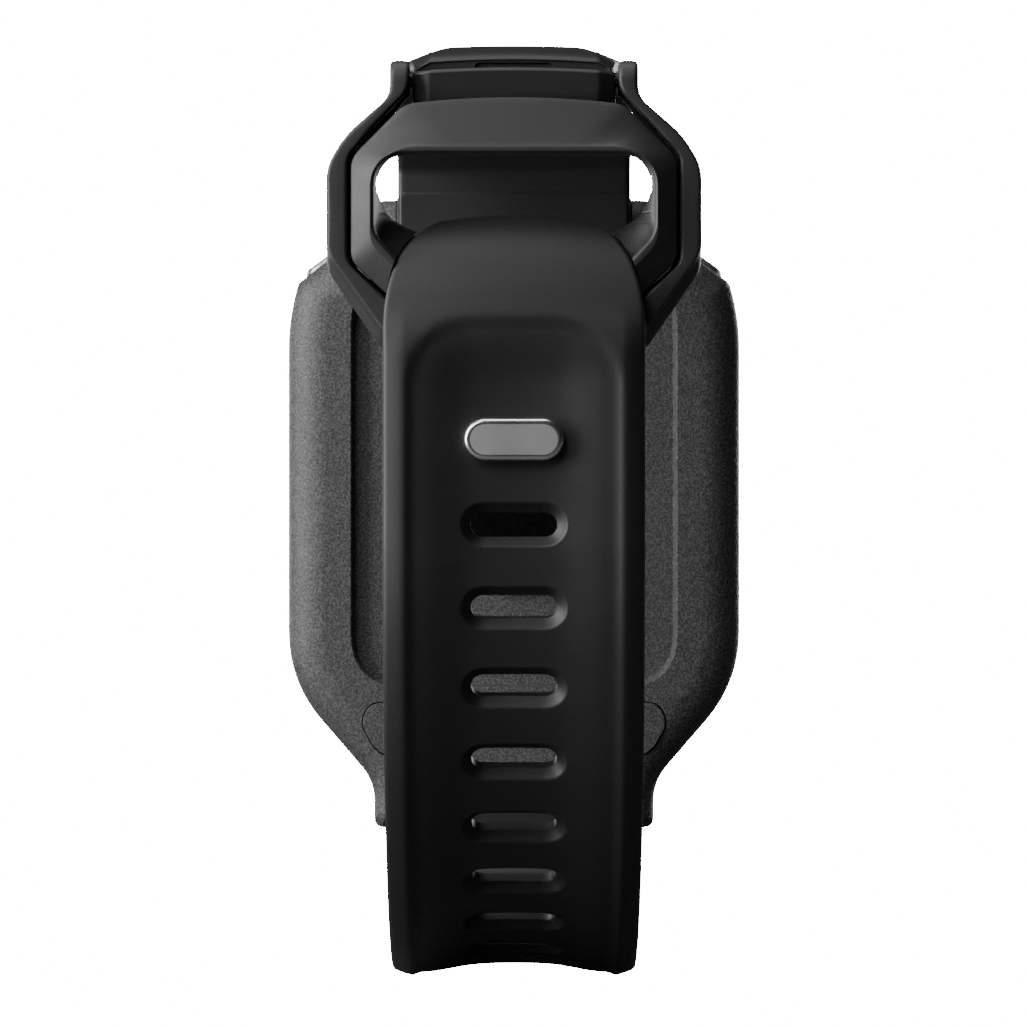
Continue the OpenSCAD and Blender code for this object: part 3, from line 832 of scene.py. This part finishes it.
def upper_outer(s, x):
    """Depth of the upper strap's outer face: wide bevels beside a flat crown."""
    d = upper_half(s) - np.abs(x)
    bevel, edge = np.clip(1 - d / 3.0, 0, 1) ** 1.2, np.clip(1 - d / 0.3, 0, 1) ** 2
    return 0.9 * bevel + 0.28 * (x / 8.2) ** 2 + 0.2 * edge


def upper_inner(s, x):
    """Depth of the upper strap's face towards the wrist, rounded along its edge."""
    d = upper_half(s) - np.abs(x)
    return STRAP_T - 0.3 * np.clip(1 - d / 0.45, 0, 1) ** 2 + root_depth(s - UPPER.length, LUG_R)


upper = strap("upper_strap_band", UPPER, upper_half, [], 6.8, 1.9, 0.5, upper_outer, upper_inner,
              lambda s, x: 0 * (s + x), STRAP)
show(upper, WATCH, "strap_rubber", "upper_strap")


def nose_piece():
    """The upper strap's end above the keeper's ledge: a steep crowned face with a pill-shaped slot in it,
    and a broad chamfer from the face to the strap's top and flanks."""
    rings = []
    for y, top, flat, low, half in [(-21.35, 36.62, 6.75, 36.1, 7.3), (-21.5, 36.72, 6.85, 35.95, 7.75),
                                    (-21.42, 36.88, 6.9, 35.95, 7.92), (-20.9, 37.26, 6.85, 36.2, 8.1),
                                    (-19.9, 37.62, 6.8, 36.55, 8.2), (-18.6, 37.86, 6.8, 36.8, 8.2),
                                    (-17.0, 38.0, 6.7, 36.9, 8.2), (-14.5, 38.2, 6.5, 36.9, 8.2)]:
        x = np.concatenate([np.linspace(-flat, flat, 41), np.full(12, flat), np.full(2, half)])
        ring_top = top - 0.26 * (np.linspace(-flat, flat, 41) / 6.9) ** 2
        ring = np.stack([np.linspace(-flat, flat, 41), ring_top], 1)
        fall = np.linspace(0, 1, 9)[1:, None]
        right = ring[-1] + (np.array([half, low]) - ring[-1]) * fall
        down = np.stack([np.full(4, half), np.linspace(low, 34.4, 5)[1:]], 1)
        outline = np.vstack([ring, right, down, np.array([[0, 34.4]]), (down * (-1, 1))[::-1],
                             (right * (-1, 1))[::-1]])[::-1]
        rings.append(at_y(outline, y))
    piece = loft("strap_nose", rings, STRAP, sharp=40)
    slot = even(pill(6.4, 0.95) + (0, 36.0), 160)
    cut = loft("slot", [at_y(inset(slot, -0.12), -22.5), at_y(inset(slot, -0.12), -21.5),
                        at_y(inset(slot, 0.02), -21.3), at_y(inset(slot, 0.12), -21.1)])
    return carve(piece, [cut])


def root_pad(sign, label):
    """The pad at a strap's end, flat on the back of the adapter."""
    line = even(rounded(both_sides([(10.42, 22.5, 0.8), (10.42, 29.2, 0.2)])), 240)
    rings = plate_rings(line, 23.6, 24.4, 0.3, 0.02)
    if sign < 0:
        rings = [ring[::-1] * (1, 1, -1) for ring in rings]
    return loft(label + "_strap_pad", rings, STRAP)


show(nose_piece(), WATCH, "strap_rubber", "upper_strap")
show(root_pad(1, "upper"), WATCH, "strap_rubber", "upper_strap")
show(root_pad(-1, "lower"), WATCH, "strap_rubber", "lower_strap")


# ---- clasp ----
def rings_at(outline, pairs):
    """Rings from one outline, as (inset, y) pairs."""
    return [at_y(inset(outline, i), y) for i, y in pairs]


def tail_room(gap):
    """A cutter in the shape of the tail's path through the clasp: the tail's outline, gap wider all
    round, back to a cylinder just under the tail's wrist side."""
    z = np.concatenate([np.linspace(11.0, 23.6, 64), [23.9, 24.2]])
    w = tail_half_at(np.minimum(z - gap, 24.0)) + gap
    y = TAIL_C[0] - np.sqrt((TAIL_R - STRAP_T - 0.22) ** 2 - (z - TAIL_C[1]) ** 2)
    rings = np.stack([np.stack([-w, y * 0 - 31, z], 1), np.stack([w, y * 0 - 31, z], 1),
                      np.stack([w, y, z], 1), np.stack([-w, y, z], 1)], 1)
    return loft("tail_room", list(rings))


def keeper_piece():
    """The keeper: a six-sided band round its window, with a raised thin rim, a wide bevel outside it, a
    crowned top edge and a step round its back, and room for the tail over its lower bar."""
    centre, count = np.array([0.0, 25.2]), 720
    outer = by_angle(rounded(both_sides([(7.3, 15, 0.8), (13.12, 20.35, 0.8), (13.12, 28.65, 1.0),
                                         (8.75, 33.0, 0.8)]), run=6), centre, count)
    rim = by_angle(rounded(both_sides([(8.4, 18.4, 1.0), (11.62, 21.7, 1.0), (11.62, 27.8, 1.5),
                                       (9.3, 29.5, 1.6)])), centre, count)
    near = by_angle(rounded(both_sides([(8.2, 19.2, 0.9), (11.2, 22.5, 0.9), (11.2, 28.85, 2.6)])),
                    centre, count)
    far = by_angle(rounded(both_sides([(8.6, 22.6, 2.6), (11.2, 25.2, 2.2), (11.2, 29.4, 3.4)])),
                   centre, count)
    outer[:, 1] += 0.5 * np.clip(1 - (outer[:, 0] / 8.4) ** 2, 0, 1) * (outer[:, 1] > 31)
    rings = rings_at(far, [(-0.5, -19.6), (-0.2, -19.66), (0.0, -19.9)])
    rings += [at_y(far + (near - far) * smooth(np.array(t)), -19.9 - 3.6 * t)
              for t in np.linspace(0.1, 1, 10)]
    rings += rings_at(near, [(0, -23.9), (-0.04, -24.15), (-0.14, -24.36), (-0.28, -24.48)])
    rings += rings_at(rim, [(0.10, -24.5), (0.03, -24.48), (-0.04, -24.42)])
    rings += [at_y(rim + (outer - rim) * t, -24.42 + 1.12 * t)
              for t in (0.1, 0.3, 0.5, 0.7, 0.88, 0.96)]
    rings += rings_at(outer, [(0.0, -23.24), (0.0, -21.05), (0.02, -21.0), (0.6, -21.0), (0.62, -20.9)])
    rings += rings_at(outer, [(0.62, -19.85), (0.75, -19.65), (1.0, -19.6)])
    piece = solid("keeper_ring", np.concatenate(rings), ring_faces(len(rings), count, True), CLASP,
                  sharp=38)
    return carve(piece, [tail_room(0.04)])


def neck_piece():
    """The neck above the keeper: a block with chamfered corners whose section is swept upwards, and
    whose top is crowned and rounded into a ledge."""
    section = rounded([(-8.2, -19.6, 0.3), (-8.2, -22.45, 0.2), (-6.85, -23.2, 0.2), (6.85, -23.2, 0.2),
                       (8.2, -22.45, 0.2), (8.2, -19.6, 0.3)], run=8)
    line = even(section, 360)
    rings = []
    for i, z in [(0.0, 31.6), (0.0, 33.4), (0.0, 35.5), (0.04, 35.62), (0.12, 35.72), (0.25, 35.78),
                 (0.6, 35.8)]:
        inner = inset(line, i)
        lift = 0.16 - 0.3 * (inner[:, 0] / 8.2) ** 2 if z > 35 else 0
        back = 0.4 * max(35.5 - z, 0) * (inner[:, 1] < -21)
        rings.append(np.stack([inner[:, 0], inner[:, 1] + back, z + lift + 0 * inner[:, 0]], 1))
    return loft("keeper_neck", rings, CLASP)


def open_path(vertices, run=14, steps=8):
    """An open line through [x, z, r] vertices, each inner corner bridged by a quadratic curve, and each
    straight stretch divided into run parts."""
    v = np.array([p[:2] for p in vertices], float)
    parts, last = [], v[0]
    for k in range(1, len(v) - 1):
        r = vertices[k][2]
        a = v[k] + (v[k - 1] - v[k]) / np.linalg.norm(v[k - 1] - v[k]) * r
        b = v[k] + (v[k + 1] - v[k]) / np.linalg.norm(v[k + 1] - v[k]) * r
        parts.append(last + (a - last) * np.linspace(0, 1, run, endpoint=False)[:, None])
        t = np.linspace(0, 1, steps, endpoint=False)[:, None]
        parts.append((1 - t) ** 2 * a + 2 * t * (1 - t) * v[k] + t**2 * b)
        last = b
    parts.append(last + (v[-1] - last) * np.linspace(0, 1, run + 1)[:, None])
    right = np.concatenate(parts)
    return np.concatenate([right, (right * (-1, 1))[-2::-1]])


def clasp_frame_piece():
    """The clasp's outer frame: a band from one arm's top, round under the strap, to the other arm's top.
    The tops close round the pin as half cylinders, and the lower outer edge is a wide bevel."""
    inner = open_path([(8.42, 36.6, 0), (8.42, 34.3, 0.8), (11.9, 30.5, 0.5), (13.38, 28.8, 0.8),
                       (13.38, 20.2, 0.8),
                       (7.42, 14.7, 0.8), (0, 14.7, 0)])
    front = open_path([(10.0, 36.6, 0), (10.0, 33.6, 0.9), (13.5, 30.55, 1.2), (15.1, 28.0, 1.2),
                       (15.1, 21.0, 0.9),
                       (10.3, 14.2, 0.8), (0, 14.0, 0)])
    back = open_path([(10.0, 36.6, 0), (10.0, 33.6, 0.9), (13.5, 30.55, 1.2), (15.1, 28.0, 1.2),
                      (15.1, 19.7, 0.9),
                      (10.6, 13.2, 0.8), (0, 12.8, 0)])
    out = front - inner
    out /= np.linalg.norm(out, axis=1, keepdims=True)

    def row(line, shift, y):
        """One line of the band, moved outwards by shift, at depth y."""
        return at_y(line + out * shift, y)

    rings = [row(inner, 0.3, -20.2), row(inner, 0.1, -20.2), row(inner, -0.48, -20.2),
             row(inner, -0.55, -20.27)]
    rings += [row(inner, -0.55, -20.68), row(inner, -0.5, -20.75), row(inner, -0.02, -20.75),
              row(inner, 0.0, -20.8)]
    rings += [row(inner, 0.0, -23.05)]
    rings += [row(inner, 0.30 * (1 - math.cos(a)), -23.05 - 0.35 * math.sin(a))
              for a in np.radians([25, 50, 75])]
    rings += [row(inner, 0.36, -23.4), row(front, -0.42, -23.4)]
    rings += [row(front, -0.36 * (1 - math.sin(a)), -23.0 - 0.4 * math.cos(a))
              for a in np.radians([15, 35, 60, 85])]
    rings += [row(front + (back - front) * t, 0.0, -22.95 + 0.95 * t) for t in (0.05, 0.35, 0.65, 0.93)]
    rings += [row(back, 0.0, -21.9), row(back, 0.0, -20.5), row(back, -0.1, -20.27),
              row(back, -0.3, -20.2)]
    rows = np.stack(rings)
    z = rows[..., 2]
    rows[..., 0] = np.where((z > 30.8) & (np.abs(rows[..., 0]) < 8.42), 8.42 * np.sign(rows[..., 0]),
                            rows[..., 0])
    round_off = 0.5 * (1 - np.sqrt(np.clip(1 - (np.maximum(z - 36.1, 0) / 0.5) ** 2, 0.0, 1)))
    arm = np.sign(rows[..., 0]) * 9.21
    rows[..., 0] = np.where(z > 36.1, arm + (rows[..., 0] - arm) * (1 - round_off / 0.79), rows[..., 0])
    squash = np.sqrt(np.clip(1 - (np.maximum(z - PIVOT[1], 0) / 1.6) ** 2, 0.0, 1))
    rows[..., 1] = PIVOT[0] + (rows[..., 1] - PIVOT[0]) * squash
    lines, cols = rows.shape[:2]
    points = rows.transpose(1, 0, 2).reshape(-1, 3)
    faces = ring_faces(cols, lines)
    faces += [tuple(range(lines))[::-1], tuple(range(len(points) - lines, len(points)))]
    return solid("clasp_frame_band", points, faces, CLASP, sharp=38)


def tongue_piece():
    """The clasp's tongue: a flat plate under the strap that carries the stud."""
    line = rounded(both_sides([(8, 1.6, 2.4), (8, 11.5, 1.5), (9.6, 14.2, 0.5)]))
    return plate("clasp_tongue", line, -23.4, -21.4, 0.3, 0.3, CLASP)


def stud_piece():
    """The locking stud: a pill-shaped head with a satin face and a polished round rim, on a waist."""
    line = even(pill(8.05, 3.45, 24), 240) + (0, STUD_Z)
    a = np.radians(np.linspace(0, 90, 9))
    rings = [at_y(inset(line, 0.5), -26.4), at_y(inset(line, 0.42), -26.4)]
    rings += [at_y(inset(line, 0.36 * (1 - math.sin(t))), -26.4 + 0.5 * (1 - math.cos(t))) for t in a]
    rings += rings_at(line, [(0.0, -25.6), (0.12, -25.4), (0.62, -25.35), (0.64, -23.4)])
    piece = loft("stud_head", rings, STUD_RIM, STUD_FACE, sharp=45)
    for face in piece.data.polygons:
        face.material_index = int(len(face.vertices) > 4 and face.center.y < -0.0263)
    return piece


show(keeper_piece(), WATCH, "clasp_plastic", "keeper_frame")
show(neck_piece(), WATCH, "clasp_plastic", "keeper_frame")
show(clasp_frame_piece(), "clasp", "clasp_plastic", "clasp_frame")
show(tongue_piece(), "clasp", "clasp_plastic", "clasp_frame")
show(stud_piece(), "clasp", "stud_metal", "locking_stud")

# ---- finishes of the CAD nodes that stay as they are ----
FINISHES = {
    "display_gasket": SEAL, "display_panel": PANEL, "inner_chassis": CHASSIS, "chassis_screws": STEEL,
    "main_board": BOARD, "processor_shield": STEEL, "battery_cell": BATTERY, "vibration_motor": STEEL,
    "speaker_unit": CHASSIS, "antenna_strip": GOLD, "sensor_window": SENSOR, "sensor_board": BOARD,
    "charging_contacts": GOLD, "left_button_seal": SEAL, "right_button_seal": SEAL,
    "left_button_switch": SWITCH, "right_button_switch": SWITCH, "clasp_pin": PIN, "stud_plate": STEEL}
for name, finish in FINISHES.items():
    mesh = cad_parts[name].data
    mesh.materials.clear()
    mesh.materials.append(finish)
